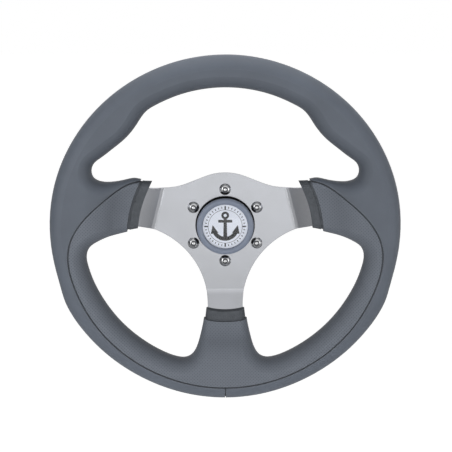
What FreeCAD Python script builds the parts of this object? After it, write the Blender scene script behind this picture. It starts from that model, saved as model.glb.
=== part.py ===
import FreeCAD, Part
import math
import os
from FreeCAD import Vector

# Boat steering wheel, 350 mm, three spokes, dished.
# Frame in millimetres: X to the right, Z up, the driver looks along +Y.
# The origin is on the wheel's axis, on the rear face of the hub, where the helm shaft comes in.

# Rim and grip
rim_diameter = 350.0
rim_depth = 31.0
top_rim_width = 32.0
low_rim_width = 33.4
cover_thickness = 1.3
cover_gap = 1.2
joint_gap = 0.8
rim_flat = 17.5
ring_rod_diameter = 10.0

# Spoke arms, seen along the axis
side_arm_angle = 14.0
side_collar_end = 86.4
side_cover_start = 97.0
collar_arc_radius = 126.0
collar_arc_angle = 17.0
foot_collar_end = 84.7
foot_cover_start = 95.3
collar_thickness = 16.0
collar_flat = 4.5
groove_width = 2.2
groove_depth = 0.7

# Spoke plate, one bent sheet
plate_thickness = 3.0
dish = 22.0
bend_start = 70.0
bend_angle = 40.0
bend_radius = 9.7
plate_hole_diameter = 59.8
crown_height = 53.9
crown_radius = 55.0
crown_angle = 21.5
crown_flank = 19.7
throat_radius = 61.0
web_radius = 84.2
web_waist = 47.0
web_angle = -39.0
web_end_angle = 68.0
arm_root_across = 18.0
arm_end_width = 22.0

# Hub with a tapered shaft bore
hub_length = 42.0
hub_flange_diameter = 88.0
hub_flange_thickness = 10.0
boss_front_diameter = 58.0
boss_rear_diameter = 50.0
boss_root_radius = 5.0
boss_edge_radius = 2.0
taper_large_diameter = 19.05
taper_ratio = 12.0
keyway_width = 4.8
keyway_depth = 2.2
nut_pocket_diameter = 34.0
nut_pocket_depth = 12.0
cap_recess_depth = 7.0

# Screws that hold the plate on the hub
screw_count = 6
screw_circle_diameter = 74.0
screw_diameter = 5.0
screw_clearance = 0.5
screw_length = 12.0
screw_flange_diameter = 11.8
screw_flange_thickness = 0.8
screw_dome_diameter = 9.4
screw_dome_height = 2.2
socket_across_flats = 3.0
socket_depth = 1.9

# Centre cap
bezel_outer_diameter = 57.4
bezel_inner_diameter = 45.4
bezel_stand = 9.5
bezel_depth = 4.6
bezel_lip = 0.9
skirt_diameter = 56.6
skirt_clearance = 0.3
skirt_wall = 2.2
cap_web = 2.0
badge_thickness = 0.8
lens_edge = 1.0
lens_rise = 2.0
lens_overlap = 0.5
lens_clearance = 0.15
o_ring_section = 1.8

# Depths along the axis, from the hub's rear face
plate_rear_y = -hub_length
plate_front_y = plate_rear_y - plate_thickness
rim_y = plate_front_y - dish
cap_front_y = plate_front_y - bezel_stand

# Radii about the axis
rim_radius = rim_diameter / 2
half_depth = rim_depth / 2
crown_line = rim_radius - half_depth
top_inner = rim_radius - top_rim_width
low_inner = rim_radius - low_rim_width
ring_radius = crown_line
blend_start = foot_collar_end + collar_flat
blend_end = crown_line - rim_flat
blend_length = blend_end - blend_start

# Depths of the grip from the middle of the rim
grip_back = half_depth
collar_front = grip_back - collar_thickness
blend_drop = collar_front + half_depth
blend_arc = (blend_length ** 2 + blend_drop ** 2) / (4 * blend_drop)

# The rounded edge of a window is a half oval that runs a little past the grip's faces.
round_share = 0.97
round_overrun = 1.012
round_steps = (-90, -60, -30, 0, 30, 60, 90)
tool_reach = 60.0
clear_of_grip = 60.0
disc_margin = 6.0


def polar(radius, angle):
    """A point in the wheel's plane, by radius and angle from +X."""
    return (radius * math.cos(math.radians(angle)), radius * math.sin(math.radians(angle)))


def arm_point(along, across, angle=side_arm_angle):
    """A point in the wheel's plane, by its place along and across a spoke arm."""
    ax, az = polar(1.0, angle)
    return (along * ax - across * az, along * az + across * ax)


def mirrored(points):
    return [(-x, z) for x, z in points]


def as_vectors(points, y=0.0):
    return [Vector(x, y, z) for x, z in points]


def front_face_y(radius):
    """Depth of the grip's front face: flat on the rim, an S of two arcs down to the collar."""
    run = min(max(radius - blend_start, 0.0), blend_length)
    if run <= blend_length / 2:
        rise = blend_arc - math.sqrt(blend_arc ** 2 - run ** 2)
    else:
        rest = blend_length - run
        rise = blend_drop - blend_arc + math.sqrt(blend_arc ** 2 - rest ** 2)
    return collar_front - rise


def half_thickness(radius):
    return (grip_back - front_face_y(radius)) / 2


def middle_y(radius):
    return (grip_back + front_face_y(radius)) / 2


def arc_edge(start, middle, end):
    return Part.Arc(start, middle, end).toShape()


def closed_face(edges):
    return Part.Face(Part.Wire(Part.__sortEdges__(edges)))


def revolved(points):
    """A turned solid from a closed outline of (radius, y) points."""
    corners = [Vector(r, y, 0) for r, y in points]
    outline = Part.makePolygon(corners + corners[:1])
    return Part.Face(outline).revolve(Vector(0, 0, 0), Vector(0, 1, 0), 360)


def cylinder(radius, y_start, y_end, x=0.0, z=0.0):
    return Part.makeCylinder(radius, y_end - y_start, Vector(x, y_start, z), Vector(0, 1, 0))


def prism(face, y_start, y_end):
    """Runs a face that lies in the wheel's plane from one depth to another."""
    placed = face.copy()
    placed.translate(Vector(0, y_start, 0))
    return placed.extrude(Vector(0, y_end - y_start, 0))


# Grip

def grip_disc(inset):
    """A turned disc, thin at the collars and as thick as the rim farther out."""
    inner = foot_collar_end - collar_flat
    outer = rim_radius + disc_margin
    front = collar_front + inset
    crown = -half_depth + inset
    back = grip_back - inset
    halfway = blend_start + blend_length / 2
    quarter = blend_length / 4

    def at(radius, y):
        return Vector(radius, y, 0)

    def on_front(radius):
        return at(radius, front_face_y(radius) + inset)

    edges = [
        Part.makeLine(at(inner, front), at(blend_start, front)),
        arc_edge(at(blend_start, front), on_front(halfway - quarter), on_front(halfway)),
        arc_edge(on_front(halfway), on_front(halfway + quarter), at(blend_end, crown)),
        Part.makeLine(at(blend_end, crown), at(outer, crown)),
        Part.makeLine(at(outer, crown), at(outer, back)),
        Part.makeLine(at(outer, back), at(inner, back)),
        Part.makeLine(at(inner, back), at(inner, front)),
    ]
    return closed_face(edges).revolve(Vector(0, 0, 0), Vector(0, 1, 0), 360)


def side_point(share, across, inner):
    """A point beside a side arm, by its share of the way from the cover's edge to the rim."""
    return arm_point(side_cover_start + share * (inner - side_cover_start), across)


def foot_point(share, across, inner):
    """A point beside the bottom arm, by the same share."""
    return arm_point(foot_cover_start + share * (inner - foot_cover_start), across, -90.0)


def rim_outline():
    """Outer outline of the rim, with a palm swell low on each side."""
    swell = [(90, 0.0), (75, 0.0), (60, 0.05), (45, 0.3), (30, 0.45), (18, 0.5), (6, 0.15), (-5, -0.3),
             (-13, -0.4), (-19, 0.4), (-24, 2.1), (-29, 2.5), (-37, 1.8), (-46, 1.05), (-56, 0.35),
             (-66, 0.0), (-78, 0.0), (-90, 0.0)]
    right = [polar(rim_radius + rise, angle) for angle, rise in swell]
    return right + mirrored(right[-2:0:-1])


def top_window():
    """Outline of the window over the side arms, with a thumb rest at each upper corner."""
    flank = [(-0.50, 32.3), (-0.275, 30.5), (-0.065, 28.9), (0.04, 28.8), (0.255, 25.0), (0.495, 20.65),
             (0.75, 18.5), (0.917, 20.6), (0.998, 27.1), (0.98, 34.5)]
    thumb_rest = [(30.8, -0.1), (36.3, 4.6), (43.5, 7.8), (51.0, 5.2), (57.0, 0.5)]
    right = [polar(foot_collar_end * 0.7, 44.0)]
    right += [side_point(share, across, top_inner) for share, across in flank]
    right += [polar(top_inner - rise, angle) for angle, rise in thumb_rest]
    right += [polar(top_inner, angle) for angle in (62.0, 70.0, 80.0)]
    return [(0, foot_collar_end * 0.46)] + right + [(0, top_inner)] + mirrored(right[::-1])


def low_window():
    """Outline of the window between the right arm and the bottom arm."""
    side = [(-0.65, -16.5), (-0.316, -21.3), (-0.14, -24.7), (0.04, -28.7), (0.372, -36.4),
            (0.538, -42.1), (0.677, -49.4), (0.704, -57.6)]
    rim = [(-15.5, -0.5), (-21.0, -0.5), (-30.0, -0.1), (-42.0, 0.1), (-54.0, 0.3), (-64.0, 0.3),
           (-70.5, 1.2)]
    foot = [(0.805, 40.3), (0.75, 34.8), (0.625, 30.3), (0.35, 25.8), (-0.01, 22.1), (-0.265, 20.6),
            (-0.59, 19.2)]
    points = [side_point(share, across, low_inner) for share, across in side]
    points += [polar(low_inner - rise, angle) for angle, rise in rim]
    points += [foot_point(share, across, low_inner) for share, across in foot]
    return points + [polar(foot_collar_end * 0.6, angle) for angle in (-62.0, -19.0)]


def outline_samples(points, grip_inside):
    """Points along a smooth closed outline, two for each of its own, with normals into the grip."""
    curve = Part.BSplineCurve()
    curve.interpolate(Points=as_vectors(points), PeriodicFlag=True)
    stations = [curve.FirstParameter]
    stations += [curve.parameter(p) for p in as_vectors(points[1:])]
    stations.append(curve.LastParameter)
    fine = []
    for start, end in zip(stations, stations[1:]):
        fine += [start, (start + end) / 2]
    area = 0.0
    for a, b in zip(points, points[1:] + points[:1]):
        area += a[0] * b[1] - b[0] * a[1]
    side = 1.0 if (area > 0) == grip_inside else -1.0
    samples = []
    for u in fine:
        tangent = curve.tangent(u)[0]
        normal = Vector(-tangent.z, 0, tangent.x) * side
        samples.append((curve.value(u), normal.normalize()))
    return samples + samples[:1]


def rounded_rows(samples, inset):
    """Rows of points across a rounded edge of the grip, front face to back face."""
    rows = []
    for step in round_steps:
        turn = math.radians(step)
        row = []
        for point, normal in samples:
            reach = (half_thickness(math.hypot(point.x, point.z)) - inset) * round_share
            q = point + normal * (inset + reach * (1 - math.cos(turn)))
            radius = math.hypot(q.x, q.z)
            lift = math.sin(turn) * (half_thickness(radius) - inset) * round_overrun
            row.append(Vector(q.x, middle_y(radius) + lift, q.z))
        rows.append(row)
    return rows


def chord_stations(row):
    lengths = [0.0]
    for a, b in zip(row, row[1:]):
        lengths.append(lengths[-1] + a.distanceToPoint(b))
    return [length / lengths[-1] for length in lengths]


def rounded_block(points, inset, grip_inside=False):
    """The solid within an outline, whose side gives the grip a fully rounded edge there."""
    rows = rounded_rows(outline_samples(points, grip_inside), inset)
    stations = chord_stations(rows[len(rows) // 2])
    curves = []
    for row in rows:
        curve = Part.BSplineCurve()
        curve.interpolate(Points=row, Parameters=stations)
        curves.append(curve)
    levels = [i / (len(rows) - 1) for i in range(len(rows))]
    across = []
    for pole in range(1, curves[0].NbPoles + 1):
        column = Part.BSplineCurve()
        column.interpolate(Points=[c.getPole(pole) for c in curves], Parameters=levels)
        across.append(column)
    edge_face = Part.BSplineSurface()
    edge_face.buildFromPolesMultsKnots(
        [c.getPoles() for c in across],
        curves[0].getMultiplicities(), across[0].getMultiplicities(),
        curves[0].getKnots(), across[0].getKnots(),
        False, False, curves[0].Degree, across[0].Degree)
    faces = [edge_face.toShape()]
    for curve, y in ((curves[0], -tool_reach), (curves[-1], tool_reach)):
        flat = curve.copy()
        for pole in range(1, flat.NbPoles + 1):
            q = flat.getPole(pole)
            flat.setPole(pole, Vector(q.x, y, q.z))
        faces += Part.makeRuledSurface(curve.toShape(), flat.toShape()).Faces
        faces.append(Part.Face(Part.Wire(flat.toShape())))
    shell = Part.Shell(faces)
    shell.sewShape()
    solid = Part.Solid(shell)
    if solid.Volume < 0:
        solid.reverse()
    return solid


def grip_form(inset):
    """The whole grip: rim, thumb rests and three shoulders, drawn in by a given amount."""
    form = grip_disc(inset).common(rounded_block(rim_outline(), inset, True))
    low = low_window()
    for outline in (top_window(), low, mirrored(low)):
        form = form.cut(rounded_block(outline, inset))
    return form


def seam_line(offset):
    """Seam between the smooth and the perforated cover, right half, from collar to bottom."""
    shoulder = [(-0.377, 27.4), (-0.076, 27.1), (0.107, 23.7), (0.398, 12.7), (0.656, -2.1),
                (0.876, -17.5), (1.016, -31.8)]
    rim = [(-3.5, 21.0), (-10.0, 16.4), (-21.0, 14.8), (-40.0, 14.2), (-65.0, 14.4), (-90.0, 14.5)]
    points = [side_point(share, across, top_inner) for share, across in shoulder]
    points += [polar(rim_radius - inward, angle) for angle, inward in rim]
    curve = Part.BSplineCurve()
    curve.interpolate(Points=as_vectors(points))
    moved = []
    for p in as_vectors(points):
        tangent = curve.tangent(curve.parameter(p))[0]
        moved.append(p + Vector(-tangent.z, 0, tangent.x).normalize() * offset)
    moved[-1].x = 0.0
    return moved


def inner_panel_area(offset):
    """Area inside the seam, grown or shrunk by half the seam gap."""
    right = seam_line(offset)
    left = [Vector(-p.x, 0, p.z) for p in right[::-1]]
    curve = Part.BSplineCurve()
    curve.interpolate(Points=right + left[1:])
    across_hub = Part.makeLine(left[-1], right[0])
    return closed_face([curve.toShape(), across_hub])


def inside_collars(side_reach, foot_reach):
    """Everything nearer the hub than a line across each of the three shoulders."""
    centre_x, centre_z = polar(side_reach - collar_arc_radius, collar_arc_angle)
    side = cylinder(collar_arc_radius, -clear_of_grip, clear_of_grip, centre_x, centre_z)
    quarter = Part.makeBox(rim_radius, 2 * clear_of_grip, rim_radius)
    quarter.translate(Vector(0, -clear_of_grip, -foot_collar_end / 2))
    side = side.common(quarter)
    across = side.mirror(Vector(0, 0, 0), Vector(1, 0, 0))
    return cylinder(foot_reach, -clear_of_grip, clear_of_grip).multiFuse([side, across])


def make_grip():
    """The moulded core with its three bare collars, and the two covers tucked into its grooves."""
    core = grip_form(cover_thickness)
    skin = grip_form(0.0).cut(core)
    under_covers = inside_collars(side_cover_start, foot_cover_start)
    bare = inside_collars(side_cover_start - groove_width, foot_cover_start - groove_width)
    core = core.cut(under_covers.cut(bare).cut(grip_form(cover_thickness + groove_depth)))
    core = core.cut(inside_collars(side_collar_end, foot_collar_end))
    skin = skin.cut(under_covers)
    half_gap = cover_gap / 2
    inner = prism(inner_panel_area(-half_gap), -clear_of_grip, clear_of_grip)
    outer = prism(inner_panel_area(half_gap), -clear_of_grip, clear_of_grip)
    perforated = skin.common(inner)
    smooth = skin.cut(outer)
    slit = Part.makeBox(joint_gap, 2 * clear_of_grip, rim_radius)
    slit.translate(Vector(-joint_gap / 2, -clear_of_grip, -rim_radius - low_rim_width))
    smooth = smooth.cut(slit)
    return core, smooth, perforated


# Spoke plate

def offset_path(points, distance):
    """A path of straight runs, moved sideways by a distance."""
    lines = []
    for (r0, y0), (r1, y1) in zip(points, points[1:]):
        length = math.hypot(r1 - r0, y1 - y0)
        nr, ny = -(y1 - y0) / length, (r1 - r0) / length
        lines.append(((r0 + nr * distance, y0 + ny * distance), ((r1 - r0) / length, (y1 - y0) / length)))
    moved = [lines[0][0]]
    for (p, d), (q, e) in zip(lines, lines[1:]):
        cross = d[0] * e[1] - d[1] * e[0]
        step = ((q[0] - p[0]) * e[1] - (q[1] - p[1]) * e[0]) / cross
        moved.append((p[0] + d[0] * step, p[1] + d[1] * step))
    last, direction = lines[-1]
    length = math.hypot(points[-1][0] - points[-2][0], points[-1][1] - points[-2][1])
    moved.append((last[0] + direction[0] * length, last[1] + direction[1] * length))
    return moved


def rounded_path(points, radii):
    """Edges along a path of (along, y) points, each inner corner an arc of its own radius."""
    corners = [Vector(r, y, 0) for r, y in points]
    edges = []
    start = corners[0]
    for before, corner, after, radius in zip(corners, corners[1:], corners[2:], radii):
        back = (before - corner).normalize()
        ahead = (after - corner).normalize()
        half_turn = back.getAngle(ahead) / 2
        reach = radius / math.tan(half_turn)
        first = corner + back * reach
        second = corner + ahead * reach
        bisector = (back + ahead).normalize()
        centre = corner + bisector * (radius / math.sin(half_turn))
        edges.append(Part.makeLine(start, first))
        edges.append(arc_edge(first, centre - bisector * radius, second))
        start = second
    edges.append(Part.makeLine(start, corners[-1]))
    return edges


def arm_sheet(angle):
    """The bent sheet of one arm, wider than the arm: flat, forward bend, then out to the ring."""
    sheet_y = (plate_front_y + plate_rear_y) / 2
    forward = middle_y(foot_collar_end) - 0.3
    foot = bend_start + (sheet_y - rim_y - forward) / math.tan(math.radians(bend_angle))
    path = [(0.0, sheet_y), (bend_start, sheet_y), (foot, rim_y + forward), (ring_radius, rim_y)]
    half = plate_thickness / 2
    back = offset_path(path, half)
    front = offset_path(path, -half)
    edges = rounded_path(back, (bend_radius + half, bend_radius - half))
    edges += rounded_path(front, (bend_radius - half, bend_radius + half))
    edges.append(Part.makeLine(Vector(*back[0], 0), Vector(*front[0], 0)))
    edges.append(Part.makeLine(Vector(*back[-1], 0), Vector(*front[-1], 0)))
    reach = rim_radius
    sheet = closed_face(edges)
    sheet.translate(Vector(0, 0, -reach))
    sheet = sheet.extrude(Vector(0, 0, 2 * reach))
    sheet.rotate(Vector(0, 0, 0), Vector(0, 1, 0), -angle)
    return sheet


def plate_outline():
    """Outline of the sheet in the wheel's plane: crown, two side arms and the bottom arm."""
    crown_centre = crown_height - crown_radius
    sx, sz = math.sin(math.radians(crown_angle)), math.cos(math.radians(crown_angle))
    shoulder = (crown_radius * sx, crown_centre + crown_radius * sz)
    flank_end = (shoulder[0] + crown_flank * sz, shoulder[1] - crown_flank * sx)
    throat_centre = (flank_end[0] + throat_radius * sx, flank_end[1] + throat_radius * sz)

    def on_throat(angle):
        x, z = polar(throat_radius, angle - 90.0)
        return (throat_centre[0] + x, throat_centre[1] + z)

    def on_web(angle):
        cx, cz = polar(web_waist + web_radius, web_angle)
        x, z = polar(web_radius, 180.0 - angle)
        return (cx + x, cz + z)

    throat_end = on_throat(side_arm_angle)
    web_end = on_web(web_end_angle)
    end = ring_radius
    half_end = arm_end_width / 2
    top_across = throat_end[1] * math.cos(math.radians(side_arm_angle))
    top_across -= throat_end[0] * math.sin(math.radians(side_arm_angle))
    side_corners = [throat_end, arm_point(side_cover_start, top_across), arm_point(end, half_end),
                    arm_point(end, -half_end), arm_point(side_cover_start, -arm_root_across), web_end]
    web_start = on_web(0.0)
    foot_corners = [web_start, (web_start[0], -foot_cover_start), (half_end, -end)]
    edges = [arc_edge(*as_vectors([(-shoulder[0], shoulder[1]), (0, crown_height), shoulder]))]
    half = [Part.makeLine(*as_vectors([shoulder, flank_end]))]
    half += [arc_edge(*as_vectors([flank_end, on_throat((side_arm_angle - crown_angle) / 2), throat_end]))]
    half += [Part.makeLine(*as_vectors(pair)) for pair in zip(side_corners, side_corners[1:])]
    half += [arc_edge(*as_vectors([web_end, on_web(web_end_angle / 2), web_start]))]
    half += [Part.makeLine(*as_vectors(pair)) for pair in zip(foot_corners, foot_corners[1:])]
    edges += half + [edge.mirror(Vector(0, 0, 0), Vector(1, 0, 0)) for edge in half]
    edges.append(Part.makeLine(*as_vectors([(-half_end, -end), (half_end, -end)])))
    return closed_face(edges)


def beyond(distance, angle):
    """Block that holds everything past a line square to an arm."""
    block = Part.makeBox(2 * rim_radius, 4 * rim_radius, 4 * rim_radius,
                         Vector(distance, -2 * rim_radius, -2 * rim_radius))
    block.rotate(Vector(0, 0, 0), Vector(0, 1, 0), -angle)
    return block


def screw_places():
    radius = screw_circle_diameter / 2
    return [polar(radius, 90.0 + 360.0 * i / screw_count) for i in range(screw_count)]


def make_ring():
    return Part.makeTorus(ring_radius, ring_rod_diameter / 2, Vector(0, rim_y, 0), Vector(0, 1, 0))


def make_plate(ring):
    """The sheet: its flat middle and three bent arms, cut to the outline and drilled."""
    outline = prism(plate_outline(), rim_y - rim_depth, 0.0)
    fold_line = bend_start - 2 * bend_radius * math.tan(math.radians(bend_angle) / 2)
    angles = (side_arm_angle, 180.0 - side_arm_angle, -90.0)
    middle = prism(plate_outline(), plate_front_y, plate_rear_y)
    arms = []
    for angle in angles:
        past = beyond(fold_line, angle)
        middle = middle.cut(past)
        arms.append(arm_sheet(angle).common(outline).common(past))
    plate = middle.multiFuse(arms).removeSplitter()
    plate = plate.cut(cylinder(plate_hole_diameter / 2, plate_front_y - 1, plate_rear_y + 1))
    for x, z in screw_places():
        hole = (screw_diameter + screw_clearance) / 2
        plate = plate.cut(cylinder(hole, plate_front_y - 1, plate_rear_y + 1, x, z))
    return plate.cut(ring)


# Hub and screws

def make_hub():
    """A turned hub: flange, boss, cap recess, nut pocket and tapered bore with its keyway."""
    front = plate_rear_y
    flange_rear = front + hub_flange_thickness
    recess = skirt_diameter / 2 + skirt_clearance
    recess_floor = front + cap_recess_depth
    pocket_floor = recess_floor + nut_pocket_depth
    taper_small = taper_large_diameter / 2 + pocket_floor / taper_ratio / 2
    body = revolved([
        (recess, front), (hub_flange_diameter / 2, front), (hub_flange_diameter / 2, flange_rear),
        (boss_front_diameter / 2, flange_rear), (boss_rear_diameter / 2, 0),
        (taper_large_diameter / 2, 0), (taper_small, pocket_floor),
        (nut_pocket_diameter / 2, pocket_floor), (nut_pocket_diameter / 2, recess_floor),
        (recess, recess_floor)])
    root = [e for e in body.Edges if on_circle(e, boss_front_diameter / 2, flange_rear)]
    body = body.makeFillet(boss_root_radius, root)
    rims = [e for e in body.Edges if on_circle(e, boss_rear_diameter / 2, 0)
            or on_circle(e, hub_flange_diameter / 2, flange_rear)]
    body = body.makeFillet(boss_edge_radius, rims)
    key_top = taper_large_diameter / 2 + keyway_depth
    keyway = Part.makeBox(keyway_width, -pocket_floor, key_top)
    keyway.translate(Vector(-keyway_width / 2, pocket_floor, 0))
    body = body.cut(keyway)
    for x, z in screw_places():
        body = body.cut(cylinder(screw_diameter / 2, front - 1, flange_rear + 1, x, z))
    return body


def on_circle(edge, radius, y):
    curve = edge.Curve
    if not isinstance(curve, Part.Circle):
        return False
    return abs(curve.Radius - radius) < 0.01 and abs(curve.Center.y - y) < 0.01


def make_screw(x, z):
    """A button-head screw with a flange under its head and a hexagon socket."""
    seat = plate_front_y
    flange_top = seat - screw_flange_thickness
    dome_half = screw_dome_diameter / 2
    sphere_radius = (dome_half ** 2 + screw_dome_height ** 2) / (2 * screw_dome_height)
    dome = Part.makeSphere(sphere_radius, Vector(0, flange_top - screw_dome_height + sphere_radius, 0))
    dome = dome.common(cylinder(dome_half, flange_top - screw_dome_height - 1, flange_top))
    head = dome.fuse(cylinder(screw_flange_diameter / 2, flange_top, seat))
    screw = head.fuse(cylinder(screw_diameter / 2, seat, seat + screw_length)).removeSplitter()
    across_corners = socket_across_flats / math.cos(math.radians(30.0))
    hexagon = [polar(across_corners / 2, 30.0 + 60.0 * i) for i in range(7)]
    socket = Part.Face(Part.makePolygon(as_vectors(hexagon)))
    top = flange_top - screw_dome_height
    screw = screw.cut(prism(socket, top - 1, top + socket_depth))
    screw.translate(Vector(x, 0, z))
    return screw


# Centre cap

def make_cap():
    """Cap body, sealing ring, bezel, badge disc and clear lens."""
    bezel_rear = cap_front_y + bezel_depth
    skirt_radius = skirt_diameter / 2
    skirt_end = plate_rear_y + cap_recess_depth
    groove_y = (plate_rear_y + skirt_end) / 2
    groove_half = o_ring_section / 2
    recess = skirt_radius + skirt_clearance
    groove_floor = recess - o_ring_section
    body = revolved([
        (0, bezel_rear), (skirt_radius, bezel_rear), (skirt_radius, groove_y - groove_half),
        (groove_floor, groove_y - groove_half), (groove_floor, groove_y + groove_half),
        (skirt_radius, groove_y + groove_half), (skirt_radius, skirt_end),
        (skirt_radius - skirt_wall, skirt_end), (skirt_radius - skirt_wall, bezel_rear + cap_web),
        (0, bezel_rear + cap_web)])
    sealing_ring = Part.makeTorus(recess - groove_half, groove_half, Vector(0, groove_y, 0), Vector(0, 1, 0))
    badge_front = bezel_rear - badge_thickness
    lens_front = badge_front - lens_edge
    lens_radius = bezel_inner_diameter / 2 + lens_overlap
    seat_radius = lens_radius + lens_clearance
    bezel = bezel_ring(bezel_rear, lens_front, seat_radius)
    badge = cylinder(lens_radius, badge_front, bezel_rear)
    lens = lens_solid(lens_radius, badge_front, lens_front)
    return body, sealing_ring, bezel, badge, lens


def bezel_ring(rear, seat_y, seat_radius):
    """The ring round the badge: a rounded crown with a thin lip over the lens."""
    outer = bezel_outer_diameter / 2
    inner = bezel_inner_diameter / 2
    lip_y = seat_y - bezel_lip
    side_y = cap_front_y + bezel_depth / 2
    crown = (outer + inner) / 2

    def at(radius, y):
        return Vector(radius, y, 0)

    edges = [
        Part.makeLine(at(seat_radius, rear), at(outer, rear)),
        Part.makeLine(at(outer, rear), at(outer, side_y)),
        oval_quarter(crown, side_y, outer - crown, side_y - cap_front_y, 1),
        oval_quarter(crown, lip_y, crown - inner, lip_y - cap_front_y, -1),
        Part.makeLine(at(inner, lip_y), at(inner, seat_y)),
        Part.makeLine(at(inner, seat_y), at(seat_radius, seat_y)),
        Part.makeLine(at(seat_radius, seat_y), at(seat_radius, rear)),
    ]
    return closed_face(edges).revolve(Vector(0, 0, 0), Vector(0, 1, 0), 360)


def oval_quarter(radius, y, half_width, height, side):
    """A quarter of an oval from the crown point out to one side."""
    tip = Vector(radius, y - height, 0)
    end = Vector(radius + side * half_width, y, 0)
    curve = Part.BSplineCurve()
    lean = math.radians(45.0)
    middle = Vector(radius + side * half_width * math.sin(lean), y - height * math.cos(lean), 0)
    curve.interpolate(Points=[tip, middle, end], InitialTangent=Vector(side, 0, 0),
                      FinalTangent=Vector(0, 1, 0))
    return curve.toShape()


def lens_solid(radius, rear, edge_front):
    """A flat-backed clear lens: a thin edge held under the bezel's lip, and a low dome inside it."""
    dome_half = bezel_inner_diameter / 2 - lens_clearance
    sphere_radius = (dome_half ** 2 + lens_rise ** 2) / (2 * lens_rise)
    dome = cylinder(dome_half, edge_front - lens_rise - 1, edge_front)
    dome = dome.common(Part.makeSphere(sphere_radius, Vector(0, edge_front - lens_rise + sphere_radius, 0)))
    return dome.fuse(cylinder(radius, edge_front, rear)).removeSplitter()


def place_at_rim(shape):
    placed = shape.copy()
    placed.translate(Vector(0, rim_y, 0))
    return placed


def main():
    os.makedirs("parts", exist_ok=True)
    ring = make_ring()
    plate = make_plate(ring)
    core, smooth, perforated = [place_at_rim(piece) for piece in make_grip()]
    core = core.cut(ring).cut(plate)
    cap_body, sealing_ring, bezel, badge, lens = make_cap()
    screws = Part.makeCompound([make_screw(x, z) for x, z in screw_places()])
    pieces = {
        "rim_ring": ring,
        "spoke_plate": plate,
        "grip_core": core,
        "cover_smooth": smooth,
        "cover_perforated": perforated,
        "hub": make_hub(),
        "plate_screws": screws,
        "cap_body": cap_body,
        "cap_o_ring": sealing_ring,
        "cap_bezel": bezel,
        "badge_disc": badge,
        "badge_lens": lens,
    }
    for name, shape in pieces.items():
        shape.exportStep(f"parts/{name}.step")
        print(name, len(shape.Solids), round(shape.Volume), shape.isValid())


main()
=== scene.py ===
import math

import bmesh
import bpy
from mathutils import Matrix, Vector


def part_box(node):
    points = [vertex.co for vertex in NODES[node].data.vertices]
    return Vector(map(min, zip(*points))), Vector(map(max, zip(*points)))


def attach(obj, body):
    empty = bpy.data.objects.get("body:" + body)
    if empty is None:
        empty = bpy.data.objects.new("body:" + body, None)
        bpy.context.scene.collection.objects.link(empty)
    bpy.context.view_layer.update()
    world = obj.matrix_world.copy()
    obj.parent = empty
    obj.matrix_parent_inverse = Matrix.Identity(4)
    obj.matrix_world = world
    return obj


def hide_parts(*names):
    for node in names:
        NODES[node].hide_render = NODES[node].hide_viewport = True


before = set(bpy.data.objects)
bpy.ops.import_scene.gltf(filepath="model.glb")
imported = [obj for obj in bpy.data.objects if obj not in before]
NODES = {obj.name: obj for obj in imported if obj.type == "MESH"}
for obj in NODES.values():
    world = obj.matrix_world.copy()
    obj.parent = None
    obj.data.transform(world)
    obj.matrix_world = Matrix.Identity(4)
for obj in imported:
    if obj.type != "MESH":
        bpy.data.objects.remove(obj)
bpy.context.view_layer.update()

MM = 0.001

# Places read from the frame, in metres
RIM_LOW, RIM_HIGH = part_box("rim_ring")
RIM_CENTRE = (RIM_LOW + RIM_HIGH) / 2
DISC_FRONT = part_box("badge_disc")[0].y
LENS_LOW, LENS_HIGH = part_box("badge_lens")
LENS_RADIUS = (LENS_HIGH.x - LENS_LOW.x) / 2

# Badge
LENS_EDGE = 1.0 * MM
LENS_RISE = 2.0 * MM
LENS_DOME_RADIUS = 22.55 * MM
LENS_AIR = 0.08 * MM
PRINT_STAND = 0.03 * MM
PRINT_SINK = 0.05 * MM

# Grip
GRAIN = 1.0 * MM
HOLE_PITCH = 2.35 * MM
HOLE_RADIUS = 0.36 * MM
ROUNDED_EDGE = 13.0 * MM
ROLLED_EDGE = 1.25 * MM
# Painted highlight along the covers' turned lips
PAINTED_LIP_HIGHLIGHT_COLOUR = "#8B919B"
# Painted shade where the covers' edges turn down into the seams
PAINTED_SEAM_SHADE_COLOUR = "#2A2D33"
HOLE_COLOUR = "#41464D"

# Screws
SCREW_HEAD_HEIGHT = 3.0 * MM
SCREW_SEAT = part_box("plate_screws")[0].y + SCREW_HEAD_HEIGHT
SCREW_CIRCLE = 37.0 * MM
SOCKET_FLATS = 3.0 * MM

# Screws, in millimetres
DOME_EDGE_RADIUS = 5.15
DOME_EDGE_HEIGHT = 0.95
DOME_CENTRE_DROP = 3.55
COUNTERSINK_RADIUS = 2.85
COUNTERSINK_DEPTH = 0.6
SHANK_RADIUS = 2.50
SHANK_LENGTH = 12.0
SOCKET_DEPTH = 1.6
SOCKET_POINT_DEPTH = 2.1

# Studio: brightness of the room towards each side, 1 being white
ROOM_RIGHT_BACK_UP = (0.02, 0.30, 0.10)
ROOM_LEFT_FRONT_DOWN = (0.05, 0.28, 0.20)
SHINE_RIGHT_BACK_UP = (0.60, 0.90, 0.75)
SHINE_LEFT_FRONT_DOWN = (0.12, 0.95, 0.80)
FLOOR_DROP = 0.50
FLOOR_LEVEL = 1.50
FLOOR_GLOW_SHARE = 0.65


# Colour and nodes

def srgb(hex_code):
    """A paint-chart colour, such as #6B7078, as the linear colour that Blender mixes."""
    values = [int(hex_code[i:i + 2], 16) / 255 for i in (1, 3, 5)]
    linear = [v / 12.92 if v <= 0.04045 else ((v + 0.055) / 1.055) ** 2.4 for v in values]
    return (*linear, 1.0)


def add_node(tree, kind, settings=None, links=None, values=None):
    """Adds one node with its settings, its fixed input values and its input links."""
    node = tree.nodes.new(kind)
    for name, value in (settings or {}).items():
        setattr(node, name, value)
    for name, value in (values or {}).items():
        node.inputs[name].default_value = value
    for name, socket in (links or {}).items():
        tree.links.new(socket, node.inputs[name])
    return node


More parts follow.
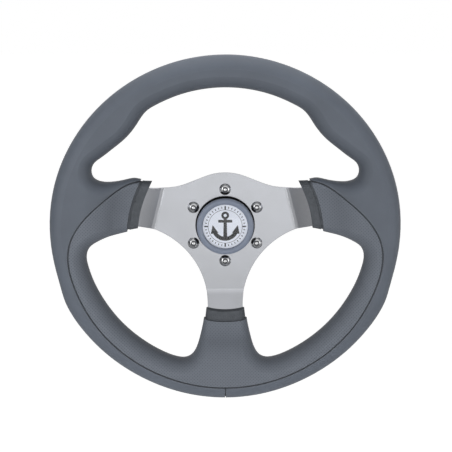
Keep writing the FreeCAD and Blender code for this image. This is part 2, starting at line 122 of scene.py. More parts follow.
def new_material(name, **sockets):
    """A material with one Principled shader, whose fixed sockets are set here."""
    material = bpy.data.materials.new(name)
    material.use_nodes = True
    tree = material.node_tree
    tree.nodes.clear()
    shader = add_node(tree, "ShaderNodeBsdfPrincipled")
    for socket, value in sockets.items():
        shader.inputs[socket.replace("_", " ")].default_value = value
    add_node(tree, "ShaderNodeOutputMaterial", links={"Surface": shader.outputs["BSDF"]})
    return material, tree, shader


def object_place(tree):
    return add_node(tree, "ShaderNodeTexCoord").outputs["Object"]


# Grip materials

def vinyl_base(name, low, high, roughness):
    """Shared by both covers: mottled tone, pebble grain and turned edges, with a painted highlight
    on their lips and painted shade where they turn into the seams.

    The outside is painted lighter and the inside darker, as painted light and shade by which way
    the surface faces, with fitted levels.
    """
    material, tree, shader = new_material(name, IOR=1.47, Sheen_Weight=0.08, Sheen_Roughness=0.35)
    place = object_place(tree)
    patches = add_node(tree, "ShaderNodeTexNoise", links={"Vector": place},
                       values={"Scale": 1 / (34 * MM), "Detail": 3.0, "Roughness": 0.6})
    tone = add_node(tree, "ShaderNodeMix", {"data_type": "RGBA"},
                    {"Factor": patches.outputs["Fac"]})
    tone.inputs["A"].default_value = srgb(low)
    tone.inputs["B"].default_value = srgb(high)
    # Painted light and shade: faces turned out from the rim are painted lighter, faces turned in
    # are painted darker
    level = add_node(tree, "ShaderNodeVectorMath", {"operation": "MULTIPLY"}, {0: place})
    level.inputs[1].default_value = (1, 0, 1)
    outward = add_node(tree, "ShaderNodeVectorMath", {"operation": "NORMALIZE"},
                       {0: level.outputs["Vector"]})
    facing = add_node(tree, "ShaderNodeVectorMath", {"operation": "DOT_PRODUCT"},
                      {0: outward.outputs["Vector"],
                       1: add_node(tree, "ShaderNodeTexCoord").outputs["Normal"]})
    painted_light_shade_level = add_node(tree, "ShaderNodeMapRange", links={"Value": facing.outputs["Value"]},
                     values={"From Min": -1.0, "From Max": 1.0, "To Min": 0.70, "To Max": 1.18})
    facing_painted_light_and_shade = add_node(tree, "ShaderNodeHueSaturation",
                        links={"Color": tone.outputs["Result"], "Value": painted_light_shade_level.outputs["Result"]})
    shine = add_node(tree, "ShaderNodeMapRange", links={"Value": patches.outputs["Fac"]},
                     values={"To Min": roughness + 0.06, "To Max": roughness - 0.06})
    tree.links.new(shine.outputs["Result"], shader.inputs["Roughness"])
    turned = add_node(tree, "ShaderNodeBevel", {"samples": 8}, values={"Radius": ROLLED_EDGE})
    straight = add_node(tree, "ShaderNodeNewGeometry").outputs["Normal"]
    lean = add_node(tree, "ShaderNodeVectorMath", {"operation": "DOT_PRODUCT"},
                    {0: straight, 1: turned.outputs["Normal"]})
    # Painted highlight: a lighter line where the covers' edges turn over beside the seams
    lip_highlight_mask = add_node(tree, "ShaderNodeMapRange", {"interpolation_type": "SMOOTHSTEP"},
                   {"Value": lean.outputs["Value"]},
                   {"From Min": 0.998, "From Max": 0.96, "To Min": 0.0, "To Max": 0.5})
    painted_lip_highlight = add_node(tree, "ShaderNodeMix", {"data_type": "RGBA"},
                       {"Factor": lip_highlight_mask.outputs["Result"], "A": facing_painted_light_and_shade.outputs["Color"]})
    painted_lip_highlight.inputs["B"].default_value = srgb(PAINTED_LIP_HIGHLIGHT_COLOUR)
    # Painted shade: the covers darken where their edges turn down into the seams
    rolled = add_node(tree, "ShaderNodeMapRange", {"interpolation_type": "SMOOTHSTEP"},
                      {"Value": lean.outputs["Value"]},
                      {"From Min": 0.95, "From Max": 0.82, "To Min": 0.0, "To Max": 0.92})
    painted_seam_shade = add_node(tree, "ShaderNodeMix", {"data_type": "RGBA"},
                    {"Factor": rolled.outputs["Result"], "A": painted_lip_highlight.outputs["Result"]})
    painted_seam_shade.inputs["B"].default_value = srgb(PAINTED_SEAM_SHADE_COLOUR)
    wobble = add_node(tree, "ShaderNodeTexNoise", links={"Vector": place},
                      values={"Scale": 1 / (2.5 * MM), "Detail": 1.0})
    bent = add_node(tree, "ShaderNodeVectorMath", {"operation": "MULTIPLY_ADD"},
                    {0: wobble.outputs["Color"]})
    bent.inputs[1].default_value = (0.8 * MM, 0.8 * MM, 0.8 * MM)
    tree.links.new(place, bent.inputs[2])
    pebbles = add_node(tree, "ShaderNodeTexVoronoi", {"feature": "DISTANCE_TO_EDGE"},
                       {"Vector": bent.outputs["Vector"]}, {"Scale": 1 / GRAIN})
    crowns = add_node(tree, "ShaderNodeMapRange", {"interpolation_type": "SMOOTHSTEP"},
                      {"Value": pebbles.outputs["Distance"]},
                      {"From Min": 0.0, "From Max": 0.22, "To Min": 0.0, "To Max": 1.0})
    grain = add_node(tree, "ShaderNodeBump",
                     links={"Height": crowns.outputs["Result"], "Normal": turned.outputs["Normal"]},
                     values={"Strength": 0.35, "Distance": 0.07 * MM})
    return material, tree, shader, place, painted_seam_shade, grain


def grained_vinyl():
    """Marine vinyl: PVC-coated cloth calendered with a fine leather grain, a dull even sheen."""
    material, tree, shader, _, tone, grain = vinyl_base("grained_marine_vinyl", "#585E67",
                                                        "#626974", 0.50)
    # tone carries the painted light and shade of the outside, the lips and the seams
    tree.links.new(tone.outputs["Result"], shader.inputs["Base Color"])
    tree.links.new(grain.outputs["Normal"], shader.inputs["Normal"])
    return material


def perforated_vinyl():
    """The same vinyl, punched with small round holes in diagonal rows for a dry grip."""
    material, tree, shader, place, tone, grain = vinyl_base("perforated_marine_vinyl", "#666C75",
                                                            "#6F757F", 0.54)
    facing = add_node(tree, "ShaderNodeTexCoord").outputs["Normal"]
    sideways = add_node(tree, "ShaderNodeVectorMath", {"operation": "MULTIPLY"}, {0: facing})
    sideways.inputs[1].default_value = (1, 0, 1)
    steep = add_node(tree, "ShaderNodeVectorMath", {"operation": "LENGTH"},
                     {0: sideways.outputs["Vector"]})
    turn = add_node(tree, "ShaderNodeMath", {"operation": "ARCSINE", "use_clamp": False},
                    {0: steep.outputs["Value"]})
    longer = add_node(tree, "ShaderNodeMath", {"operation": "DIVIDE"},
                      {0: turn.outputs["Value"], 1: steep.outputs["Value"]})
    spare = add_node(tree, "ShaderNodeMath", {"operation": "MULTIPLY_ADD"},
                     {0: longer.outputs["Value"]}, {1: ROUNDED_EDGE, 2: -ROUNDED_EDGE})
    unrolled = add_node(tree, "ShaderNodeVectorMath", {"operation": "SCALE"},
                        {0: sideways.outputs["Vector"], "Scale": spare.outputs["Value"]})
    laid_flat = add_node(tree, "ShaderNodeVectorMath", {"operation": "ADD"},
                         {0: place, 1: unrolled.outputs["Vector"]})
    rows = add_node(tree, "ShaderNodeMapping", links={"Vector": laid_flat.outputs["Vector"]},
                    values={"Rotation": (math.pi / 2, 0, math.pi / 4)})
    cells = add_node(tree, "ShaderNodeTexVoronoi", {"voronoi_dimensions": "2D"},
                     {"Vector": rows.outputs["Vector"]},
                     {"Scale": 1 / HOLE_PITCH, "Randomness": 0.0})
    hole = add_node(tree, "ShaderNodeMapRange", {"interpolation_type": "SMOOTHSTEP"},
                    {"Value": cells.outputs["Distance"]},
                    {"From Min": (HOLE_RADIUS - 0.12 * MM) / HOLE_PITCH,
                     "From Max": (HOLE_RADIUS + 0.12 * MM) / HOLE_PITCH,
                     "To Min": 1.0, "To Max": 0.0})
    # tone carries the painted light and shade of the outside, the lips and the seams
    punched = add_node(tree, "ShaderNodeMix", {"data_type": "RGBA"},
                       {"Factor": hole.outputs["Result"], "A": tone.outputs["Result"]})
    punched.inputs["B"].default_value = srgb(HOLE_COLOUR)
    tree.links.new(punched.outputs["Result"], shader.inputs["Base Color"])
    depth = add_node(tree, "ShaderNodeBump", {"invert": True},
                     {"Height": hole.outputs["Result"], "Normal": grain.outputs["Normal"]},
                     {"Strength": 0.6, "Distance": 0.25 * MM})
    tree.links.new(depth.outputs["Normal"], shader.inputs["Normal"])
    return material


def foam_skin():
    """Integral-skin polyurethane foam: dark, matt, with the pebbled skin of its mould."""
    material, tree, shader = new_material("moulded_foam_skin", Roughness=0.72, IOR=1.5)
    place = object_place(tree)
    patches = add_node(tree, "ShaderNodeTexNoise", links={"Vector": place},
                       values={"Scale": 1 / (5 * MM), "Detail": 4.0, "Roughness": 0.65})
    tone = add_node(tree, "ShaderNodeMix", {"data_type": "RGBA"},
                    {"Factor": patches.outputs["Fac"]})
    tone.inputs["A"].default_value = srgb("#3C4044")
    tone.inputs["B"].default_value = srgb("#595D63")
    tree.links.new(tone.outputs["Result"], shader.inputs["Base Color"])
    pebbles = add_node(tree, "ShaderNodeTexVoronoi", {"feature": "SMOOTH_F1"}, {"Vector": place},
                       {"Scale": 1 / (1.6 * MM), "Smoothness": 0.6})
    turned = add_node(tree, "ShaderNodeBevel", {"samples": 6}, values={"Radius": 0.8 * MM})
    skin = add_node(tree, "ShaderNodeBump", {"invert": True},
                    {"Height": pebbles.outputs["Distance"], "Normal": turned.outputs["Normal"]},
                    {"Strength": 0.8, "Distance": 0.5 * MM})
    tree.links.new(skin.outputs["Normal"], shader.inputs["Normal"])
    return material


# Metal

def satin_stainless():
    """304 stainless sheet, ground fine and buffed: nearly a mirror, with faint grinding lines."""
    material, tree, shader = new_material("buffed_stainless_sheet", Metallic=1.0)
    place = object_place(tree)
    along = add_node(tree, "ShaderNodeMapping", links={"Vector": place},
                     values={"Scale": (1 / (30 * MM), 1 / (30 * MM), 1 / (0.35 * MM))})
    lines = add_node(tree, "ShaderNodeTexNoise", links={"Vector": along.outputs["Vector"]},
                     values={"Scale": 1.0, "Detail": 4.0, "Roughness": 0.6})
    clouds = add_node(tree, "ShaderNodeTexNoise", links={"Vector": place},
                      values={"Scale": 1 / (22 * MM), "Detail": 2.0})
    tone = add_node(tree, "ShaderNodeMix", {"data_type": "RGBA"},
                    {"Factor": clouds.outputs["Fac"]})
    tone.inputs["A"].default_value = srgb("#BDBFC3")
    tone.inputs["B"].default_value = srgb("#C6C8CE")
    tree.links.new(tone.outputs["Result"], shader.inputs["Base Color"])
    shine = add_node(tree, "ShaderNodeMapRange", links={"Value": lines.outputs["Fac"]},
                     values={"To Min": 0.16, "To Max": 0.26})
    tree.links.new(shine.outputs["Result"], shader.inputs["Roughness"])
    broken = add_node(tree, "ShaderNodeBevel", {"samples": 6}, values={"Radius": 0.5 * MM})
    ground = add_node(tree, "ShaderNodeBump",
                      links={"Height": lines.outputs["Fac"], "Normal": broken.outputs["Normal"]},
                      values={"Strength": 0.08, "Distance": 0.02 * MM})
    tree.links.new(ground.outputs["Normal"], shader.inputs["Normal"])
    return material


def turned_metal(name, dark, light, roughness, edge, metallic=1.0):
    """Machined or rolled metal, with the fine round marks of the tool and softened edges."""
    material, tree, shader = new_material(name, Metallic=metallic)
    place = object_place(tree)
    marks = add_node(tree, "ShaderNodeTexNoise", links={"Vector": place},
                     values={"Scale": 1 / (0.8 * MM), "Detail": 3.0})
    tone = add_node(tree, "ShaderNodeMix", {"data_type": "RGBA"},
                    {"Factor": marks.outputs["Fac"]})
    tone.inputs["A"].default_value = srgb(dark)
    tone.inputs["B"].default_value = srgb(light)
    tree.links.new(tone.outputs["Result"], shader.inputs["Base Color"])
    shine = add_node(tree, "ShaderNodeMapRange", links={"Value": marks.outputs["Fac"]},
                     values={"To Min": roughness - 0.04, "To Max": roughness + 0.04})
    tree.links.new(shine.outputs["Result"], shader.inputs["Roughness"])
    softened = add_node(tree, "ShaderNodeBevel", {"samples": 6}, values={"Radius": edge})
    tree.links.new(softened.outputs["Normal"], shader.inputs["Normal"])
    return material


# Plastic and rubber

def moulded_plastic(name, dark, light, roughness, edge, texture, ior=1.53):
    """Injection-moulded plastic: even colour, faint flow marks, a sheen set by the mould."""
    material, tree, shader = new_material(name, IOR=ior)
    place = object_place(tree)
    flow = add_node(tree, "ShaderNodeTexNoise", links={"Vector": place},
                    values={"Scale": 1 / (9 * MM), "Detail": 2.0})
    tone = add_node(tree, "ShaderNodeMix", {"data_type": "RGBA"}, {"Factor": flow.outputs["Fac"]})
    tone.inputs["A"].default_value = srgb(dark)
    tone.inputs["B"].default_value = srgb(light)
    tree.links.new(tone.outputs["Result"], shader.inputs["Base Color"])
    shine = add_node(tree, "ShaderNodeMapRange", links={"Value": flow.outputs["Fac"]},
                     values={"To Min": roughness - 0.04, "To Max": roughness + 0.04})
    tree.links.new(shine.outputs["Result"], shader.inputs["Roughness"])
    specks = add_node(tree, "ShaderNodeTexNoise", links={"Vector": place},
                      values={"Scale": 1 / (0.4 * MM), "Detail": 2.0})
    softened = add_node(tree, "ShaderNodeBevel", {"samples": 6}, values={"Radius": edge})
    skin = add_node(tree, "ShaderNodeBump",
                    links={"Height": specks.outputs["Fac"], "Normal": softened.outputs["Normal"]},
                    values={"Strength": texture, "Distance": 0.03 * MM})
    tree.links.new(skin.outputs["Normal"], shader.inputs["Normal"])
    return material


def acrylic_lens():
    """Cast clear acrylic: smooth, with faint swirls from polishing.

    Shadow and diffuse rays pass straight through, so that light bounced from the print
    meets the room and not the bright backdrop.
    """
    material, tree, shader = new_material("clear_acrylic", IOR=1.49, Transmission_Weight=1.0)
    shader.inputs["Base Color"].default_value = srgb("#FAFBFD")
    place = object_place(tree)
    swirls = add_node(tree, "ShaderNodeTexNoise", links={"Vector": place},
                      values={"Scale": 1 / (6 * MM), "Detail": 1.0})
    shine = add_node(tree, "ShaderNodeMapRange", links={"Value": swirls.outputs["Fac"]},
                     values={"To Min": 0.0, "To Max": 0.04})
    tree.links.new(shine.outputs["Result"], shader.inputs["Roughness"])
    rays = add_node(tree, "ShaderNodeLightPath")
    unbent = add_node(tree, "ShaderNodeMath", {"operation": "MAXIMUM"},
                      {0: rays.outputs["Is Shadow Ray"], 1: rays.outputs["Is Diffuse Ray"]})
    through = add_node(tree, "ShaderNodeBsdfTransparent")
    clear = add_node(tree, "ShaderNodeMixShader", links={0: unbent.outputs["Value"],
                                                         1: shader.outputs["BSDF"],
                                                         2: through.outputs["BSDF"]})
    output = next(node for node in tree.nodes if node.type == "OUTPUT_MATERIAL")
    tree.links.new(clear.outputs["Shader"], output.inputs["Surface"])
    return material


# Badge

def finish_piece(bm, name, material, smooth_angle=None):
    """Makes an object of a bmesh, that rides with the wheel."""
    bmesh.ops.remove_doubles(bm, verts=bm.verts, dist=1e-7)
    bmesh.ops.recalc_face_normals(bm, faces=bm.faces)
    mesh = bpy.data.meshes.new(name)
    bm.to_mesh(mesh)
    bm.free()
    if smooth_angle is not None:
        mesh.polygons.foreach_set("use_smooth", [True] * len(mesh.polygons))
        mesh.set_sharp_from_angle(angle=smooth_angle)
    mesh.materials.append(material)
    piece = bpy.data.objects.new(name, mesh)
    bpy.context.scene.collection.objects.link(piece)
    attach(piece, "root")
    return piece


def make_lens():
    """The clear lens: a thin edge under the bezel's lip and a low dome, with air behind it."""
    bm = bmesh.new()
    edge_front = LENS_HIGH.y - LENS_EDGE
    dome_centre = (edge_front - LENS_RISE
                   + (LENS_DOME_RADIUS ** 2 + LENS_RISE ** 2) / (2 * LENS_RISE))
    sphere = dome_centre - (edge_front - LENS_RISE)
    spread = math.asin(LENS_DOME_RADIUS / sphere)
    top = bm.verts.new((0, edge_front - LENS_RISE, 0))
    arc = bmesh.ops.spin(bm, geom=[top], cent=(0, dome_centre, 0), axis=(0, 0, 1),
                         angle=spread, steps=14)
    last = next(g for g in arc["geom_last"] if isinstance(g, bmesh.types.BMVert))
    side = -1 if last.co.x < 0 else 1
    corners = [last]
    for radius, y in ((LENS_RADIUS, edge_front), (LENS_RADIUS, LENS_HIGH.y - LENS_AIR),
                      (0, LENS_HIGH.y - LENS_AIR)):
        corners.append(bm.verts.new((side * radius, y, 0)))
        bm.edges.new(corners[-2:])
    bmesh.ops.spin(bm, geom=bm.verts[:] + bm.edges[:], cent=(0, 0, 0), axis=(0, 1, 0),
                   angle=2 * math.pi, steps=96, use_merge=True)
    lens = finish_piece(bm, "clear_lens", acrylic_lens(), math.radians(30))
    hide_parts("badge_lens")
    return lens


def make_screw_head(bm, x, z):
    """A flanged button head: a chamfered flange, a dome and a countersunk hexagon socket."""
    screw = bmesh.new()
    outline = [(5.22, 0.86), (5.80, 0.42), (5.90, 0.30), (5.90, 0.0), (SHANK_RADIUS, 0.0),
               (SHANK_RADIUS, -SHANK_LENGTH), (0.0, -SHANK_LENGTH)]
    centre = DOME_EDGE_HEIGHT - DOME_CENTRE_DROP
    shoulder = screw.verts.new((0, -DOME_EDGE_HEIGHT * MM, DOME_EDGE_RADIUS * MM))
    reach = math.atan2(DOME_EDGE_RADIUS, DOME_CENTRE_DROP)
    top = math.asin(COUNTERSINK_RADIUS / math.hypot(DOME_EDGE_RADIUS, DOME_CENTRE_DROP))
    bmesh.ops.spin(screw, geom=[shoulder], cent=(0, -centre * MM, 0), axis=(1, 0, 0),
                   angle=reach - top, steps=8)
    last = shoulder
    for radius, height in outline:
        corner = screw.verts.new((0, -height * MM, radius * MM))
        screw.edges.new((last, corner))
        last = corner
    bmesh.ops.spin(screw, geom=screw.verts[:] + screw.edges[:], cent=(0, 0, 0), axis=(0, 1, 0),
                   angle=2 * math.pi, steps=36, use_merge=True)
    bmesh.ops.remove_doubles(screw, verts=screw.verts, dist=1e-7)
    rim = [edge for edge in screw.edges if edge.is_boundary]
    socket = bmesh.ops.extrude_edge_only(screw, edges=rim)
    ring = [g for g in socket["geom"] if isinstance(g, bmesh.types.BMVert)]
    height = min(vert.co.y for vert in ring) + COUNTERSINK_DEPTH * MM
    for vert in ring:
        turn = math.atan2(vert.co.z, vert.co.x)
        flat = (turn + math.pi / 6) % (math.pi / 3) - math.pi / 6
        across = SOCKET_FLATS / 2 / math.cos(flat)
        vert.co = Vector((across * math.cos(turn), height, across * math.sin(turn)))
    walls = bmesh.ops.extrude_edge_only(
        screw, edges=[g for g in socket["geom"] if isinstance(g, bmesh.types.BMEdge)
                      and all(v in ring for v in g.verts)])
    floor = [g for g in walls["geom"] if isinstance(g, bmesh.types.BMVert)]
    bmesh.ops.translate(screw, verts=floor, vec=(0, SOCKET_DEPTH * MM, 0))
    tip = bmesh.ops.extrude_edge_only(
        screw, edges=[g for g in walls["geom"] if isinstance(g, bmesh.types.BMEdge)
                      and all(v in floor for v in g.verts)])
    end = [g for g in tip["geom"] if isinstance(g, bmesh.types.BMVert)]
    bmesh.ops.pointmerge(screw, verts=end, merge_co=(0, height + SOCKET_POINT_DEPTH * MM, 0))
    # Faces inside the socket take the second material: broached steel, rougher, its dark colour
    # painted shade of the recess
    for face in screw.faces:
        inside = all(v.co.y < -0.6 * MM and v.co.xz.length < 2.9 * MM for v in face.verts)
        face.material_index = 1 if inside else 0
    bmesh.ops.translate(screw, verts=screw.verts, vec=(x, SCREW_SEAT, z))
    scratch = bpy.data.meshes.new("screw")
    screw.to_mesh(scratch)
    screw.free()
    bm.from_mesh(scratch)
    bpy.data.meshes.remove(scratch)


def make_screws():
    bm = bmesh.new()
    for step in range(6):
        turn = math.pi / 2 + step * math.pi / 3
        make_screw_head(bm, SCREW_CIRCLE * math.cos(turn), SCREW_CIRCLE * math.sin(turn))
    steel = turned_metal("polished_stainless_screws", "#CFD0D2", "#DCDDDF", 0.10, 0.12 * MM)
    screws = finish_piece(bm, "flanged_button_heads", steel, math.radians(38))
    # Painted shade: the socket's steel is darkened to stand in for the shade inside the recess
    screws.data.materials.append(turned_metal("broached_socket_steel_painted_shade", "#4C4D50", "#5E5F63", 0.35,
                                              0.10 * MM))
    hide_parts("plate_screws")


def print_band(bm, inner, outer, start, end, steps, centre=(0, 0)):
    """A flat band round a centre, in the badge's plane; angles run from +X towards +Z."""
    ends = [bm.verts.new((centre[0] + r * math.cos(start), 0, centre[1] + r * math.sin(start)))
            for r in (inner, outer)]
    edge = bm.edges.new(ends)
    bmesh.ops.spin(bm, geom=ends + [edge], cent=(centre[0], 0, centre[1]), axis=(0, -1, 0),
                   angle=end - start, steps=steps,
                   use_merge=abs(end - start - 2 * math.pi) < 1e-6)


def print_plate(bm, corners):
    """A flat shape of a few corners, in the badge's plane."""
    bm.faces.new([bm.verts.new((x * MM, 0, z * MM)) for x, z in corners])


def raise_print(bm, stand):
    """Gives the flat shapes the thickness of ink, from inside the disc to just proud of it."""
    bmesh.ops.remove_doubles(bm, verts=bm.verts, dist=1e-7)
    raised = bmesh.ops.extrude_face_region(bm, geom=bm.faces[:])
    moved = [g for g in raised["geom"] if isinstance(g, bmesh.types.BMVert)]
    bmesh.ops.translate(bm, verts=moved, vec=(0, -PRINT_SINK - stand, 0))
    bmesh.ops.translate(bm, verts=bm.verts, vec=(0, DISC_FRONT + PRINT_SINK, 0))


def make_badge_print():
    """A plain anchor in black ink, with a thin ring and a scale of short strokes round it."""
    ink = moulded_plastic("black_screen_ink", "#101115", "#17181C", 0.5, 0.02 * MM, 0.1,
                          ior=1.25)
    bm = bmesh.new()
    print_plate(bm, [(-2.0, -13.4), (2.0, -13.4), (1.5, 8.4), (-1.5, 8.4)])
    raise_print(bm, PRINT_STAND)
    finish_piece(bm, "anchor_shank", ink)
    bm = bmesh.new()
    print_plate(bm, [(-7.0, 4.1), (7.0, 4.1), (7.0, 6.9), (-7.0, 6.9)])
    print_band(bm, 1.6 * MM, 3.9 * MM, 0, 2 * math.pi, 36, (0, 11.4 * MM))
    raise_print(bm, PRINT_STAND + 0.004 * MM)
    finish_piece(bm, "anchor_stock_and_eye", ink)
    bm = bmesh.new()
    print_band(bm, 9.6 * MM, 13.7 * MM, math.radians(203), math.radians(337), 40, (0, -0.9 * MM))
    for side in (-1, 1):
        print_plate(bm, [(side * 14.4, -7.6), (side * 6.9, -6.2), (side * 12.6, 1.6)][::side])
    raise_print(bm, PRINT_STAND + 0.008 * MM)
    finish_piece(bm, "anchor_arms", ink)
    bm = bmesh.new()
    print_band(bm, 16.9 * MM, 17.3 * MM, 0, 2 * math.pi, 96)
    for step in range(36):
        long_one = step % 9 == 0
        inner, outer = (17.3, 21.0) if long_one else (18.6, 20.4)
        half = 0.70 if long_one else 0.42
        turn = Matrix.Rotation(step * math.pi / 18, 4, "Y")
        stroke = bmesh.new()
        print_plate(stroke, [(inner, -half), (outer, -half), (outer, half), (inner, half)])
        bmesh.ops.transform(stroke, matrix=turn, verts=stroke.verts)
        scratch = bpy.data.meshes.new("stroke")
        stroke.to_mesh(scratch)
        stroke.free()
        bm.from_mesh(scratch)
        bpy.data.meshes.remove(scratch)
    raise_print(bm, PRINT_STAND)
    finish_piece(bm, "badge_scale", ink)


# Studio

def make_camera():
    """A long lens a little above the wheel's axis and a little to its left."""
    elevation = math.radians(13.0)
    azimuth = math.radians(-0.7)
    distance = 1.5
    pixels_per_metre = 1002.5
    frame_pixels = 452
    rim_column, rim_row = 225.4, 230.0
    camera = bpy.data.cameras.new("photo_camera")
    camera.sensor_width = 36.0
    camera.lens = pixels_per_metre * distance / frame_pixels * camera.sensor_width
    camera.shift_x = (frame_pixels / 2 - rim_column) / frame_pixels
    camera.shift_y = (rim_row - frame_pixels / 2) / frame_pixels
    camera.clip_end = 20.0
    place = bpy.data.objects.new("photo_camera", camera)
    bpy.context.scene.collection.objects.link(place)
    toward = Vector((math.sin(azimuth) * math.cos(elevation),
                     -math.cos(azimuth) * math.cos(elevation), math.sin(elevation)))
    place.location = RIM_CENTRE + toward * distance
    place.rotation_euler = (-toward).to_track_quat("-Z", "Y").to_euler()
    bpy.context.scene.camera = place


def seen_directly(tree):
    """1 for what the camera sees, itself or in glass, else 0."""
    rays = add_node(tree, "ShaderNodeLightPath")
    seen = add_node(tree, "ShaderNodeMath", {"operation": "MAXIMUM"},
                    {0: rays.outputs["Is Camera Ray"], 1: rays.outputs["Is Transmission Ray"]})
    return seen.outputs["Value"], rays


def room_light(tree, way, right_back_up, left_front_down):
    """Brightness of the room in a direction, from its six sides, blended smoothly."""
    halves = []
    for sign, levels in ((1, right_back_up), (-1, left_front_down)):
        turned = add_node(tree, "ShaderNodeVectorMath", {"operation": "SCALE"}, {0: way},
                          {"Scale": sign})
        ahead = add_node(tree, "ShaderNodeVectorMath", {"operation": "MAXIMUM"},
                         {0: turned.outputs["Vector"]})
        ahead.inputs[1].default_value = (0, 0, 0)
        squared = add_node(tree, "ShaderNodeVectorMath", {"operation": "MULTIPLY"},
                           {0: ahead.outputs["Vector"], 1: ahead.outputs["Vector"]})
        level = add_node(tree, "ShaderNodeVectorMath", {"operation": "DOT_PRODUCT"},
                         {0: squared.outputs["Vector"]})
        level.inputs[1].default_value = levels
        halves.append(level.outputs["Value"])
    return add_node(tree, "ShaderNodeMath", {"operation": "ADD"},
                    {0: halves[0], 1: halves[1]}).outputs["Value"]


def make_world():
    """A white room, seen as plain white, whose light comes mostly from the front."""
    world = bpy.data.worlds.new("studio")
    bpy.context.scene.world = world
    world.use_nodes = True
    tree = world.node_tree
    tree.nodes.clear()
    way = add_node(tree, "ShaderNodeTexCoord").outputs["Generated"]
    light = room_light(tree, way, ROOM_RIGHT_BACK_UP, ROOM_LEFT_FRONT_DOWN)
    mirrored = room_light(tree, way, SHINE_RIGHT_BACK_UP, SHINE_LEFT_FRONT_DOWN)
    seen, rays = seen_directly(tree)
    room = add_node(tree, "ShaderNodeMix", {"data_type": "FLOAT"},
                    {"Factor": rays.outputs["Is Glossy Ray"], "A": light, "B": mirrored})
    strength = add_node(tree, "ShaderNodeMix", {"data_type": "FLOAT"},
                        {"Factor": seen, "A": room.outputs["Result"]})
    strength.inputs["B"].default_value = 1.0
    background = add_node(tree, "ShaderNodeBackground",
                          links={"Strength": strength.outputs["Result"]})
    background.inputs["Color"].default_value = (1, 1, 1, 1)
    add_node(tree, "ShaderNodeOutputWorld", links={"Surface": background.outputs["Background"]})


def make_floor():
    """A wide white floor well below the wheel; mirrored, its glow is graded as in the photo."""
    bm = bmesh.new()
    bmesh.ops.create_grid(bm, x_segments=1, y_segments=1, size=6.0)
    bmesh.ops.translate(bm, verts=bm.verts, vec=(0, 0, -FLOOR_DROP))
    mesh = bpy.data.meshes.new("studio_floor")
    bm.to_mesh(mesh)
    bm.free()
    material = bpy.data.materials.new("white_painted_floor")
    material.use_nodes = True
    tree = material.node_tree
    tree.nodes.clear()
    place = object_place(tree)
    rolled = add_node(tree, "ShaderNodeTexNoise", links={"Vector": place}, values={"Scale": 3.0})
    paint = add_node(tree, "ShaderNodeMix", {"data_type": "RGBA"},
                     {"Factor": rolled.outputs["Fac"]})
    paint.inputs["A"].default_value = srgb("#F1F1F1")
    paint.inputs["B"].default_value = srgb("#F4F4F4")
    dull = add_node(tree, "ShaderNodeBsdfDiffuse", links={"Color": paint.outputs["Result"]})
    seen, rays = seen_directly(tree)
    axes = add_node(tree, "ShaderNodeSeparateXYZ", links={"Vector": place})
    ahead = add_node(tree, "ShaderNodeMapRange", {"interpolation_type": "SMOOTHSTEP"},
                     {"Value": axes.outputs["Y"]},
                     {"From Min": -1.0, "From Max": -3.4, "To Min": 0.53, "To Max": 1.58})
    across = add_node(tree, "ShaderNodeMapRange", links={"Value": axes.outputs["X"]},
                      values={"From Min": -1.4, "From Max": 2.8, "To Min": 0.70, "To Max": 1.86})
    graded = add_node(tree, "ShaderNodeMath", {"operation": "MULTIPLY"},
                      {0: ahead.outputs["Result"], 1: across.outputs["Result"]})
    level = add_node(tree, "ShaderNodeMix", {"data_type": "FLOAT"},
                     {"Factor": rays.outputs["Is Glossy Ray"], "B": graded.outputs["Value"]})
    level.inputs["A"].default_value = FLOOR_LEVEL
    glow = add_node(tree, "ShaderNodeEmission", links={"Strength": level.outputs["Result"]})
    shown = add_node(tree, "ShaderNodeMath", {"operation": "MAXIMUM"},
                     {0: seen, 1: rays.outputs["Is Glossy Ray"]})
    share = add_node(tree, "ShaderNodeMath", {"operation": "MULTIPLY"},
                     {0: shown.outputs["Value"]}, {1: FLOOR_GLOW_SHARE})
    mixed = add_node(tree, "ShaderNodeMixShader", links={0: share.outputs["Value"],
                                                         1: dull.outputs["BSDF"],
                                                         2: glow.outputs["Emission"]})
    add_node(tree, "ShaderNodeOutputMaterial", links={"Surface": mixed.outputs["Shader"]})
    mesh.materials.append(material)
    floor = bpy.data.objects.new("studio_floor", mesh)
    bpy.context.scene.collection.objects.link(floor)


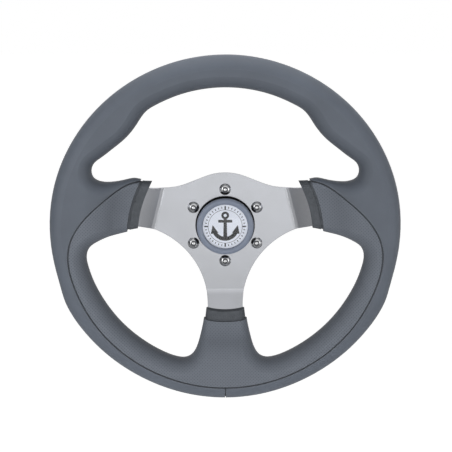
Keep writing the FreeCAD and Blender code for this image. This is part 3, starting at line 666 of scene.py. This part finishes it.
def make_lamp(name, way, distance, width, height, power, mirrored=True):
    """A soft box turned to the middle of the rim, hidden from camera and refracted rays."""
    lamp = bpy.data.lights.new(name, "AREA")
    lamp.shape = "RECTANGLE"
    lamp.size = width
    lamp.size_y = height
    lamp.energy = power
    place = bpy.data.objects.new(name, lamp)
    bpy.context.scene.collection.objects.link(place)
    away = Vector(way).normalized()
    place.location = RIM_CENTRE + away * distance
    place.rotation_euler = away.to_track_quat("Z", "Y").to_euler()
    place.visible_camera = False
    place.visible_glossy = mirrored
    place.visible_transmission = False


def make_lamps():
    make_lamp("front_panel", (-0.12, -1.0, 0.05), 2.2, 0.9, 0.9, 17.0, False)
    make_lamp("strip_left", (-0.42, -1.0, 0.0), 1.8, 0.12, 1.2, 2.0)
    make_lamp("strip_right", (0.42, -1.0, 0.0), 1.8, 0.12, 1.2, 2.0)
    make_lamp("soft_box_left", (-1.0, -0.7, 0.1), 1.6, 0.30, 1.3, 4.0)
    make_lamp("soft_box_right", (1.0, -0.42, -0.08), 1.6, 0.40, 1.3, 2.6)
    make_lamp("bounce_card", (0.0, -0.8, -0.52), 0.8, 1.3, 0.4, 1.8, False)
    make_lamp("top_strip", (0.0, 0.0, 1.0), 0.30, 0.50, 0.10, 0.35, False)


# Finishes for the pieces that keep their own shape

def finish_nodes():
    finishes = {
        "cover_smooth": grained_vinyl(),
        "cover_perforated": perforated_vinyl(),
        "grip_core": foam_skin(),
        "spoke_plate": satin_stainless(),
        "hub": turned_metal("dark_anodised_aluminium", "#2B2B2E", "#353538", 0.42, 0.3 * MM, 0.9),
        "rim_ring": turned_metal("zinc_plated_steel_rod", "#9A9C9E", "#A9ABAD", 0.38, 0.1 * MM),
        "cap_body": moulded_plastic("black_abs", "#0C0C0E", "#121214", 0.36, 0.3 * MM, 0.15),
        "cap_bezel": moulded_plastic("blue_grey_abs", "#757E8F", "#7B8496", 0.22, 0.3 * MM, 0.12),
        "badge_disc": moulded_plastic("silver_printed_film", "#DBDFE9", "#E0E4EE", 0.34,
                                      0.1 * MM, 0.1),
        "cap_o_ring": moulded_plastic("nitrile_rubber", "#131313", "#1A1A1A", 0.62, 0.1 * MM, 0.3),
    }
    for name, material in finishes.items():
        NODES[name].data.materials[0] = material


def main():
    make_camera()
    finish_nodes()
    make_screws()
    make_lens()
    make_badge_print()
    make_world()
    make_floor()
    make_lamps()
    bpy.context.scene.view_settings.view_transform = "Standard"


main()
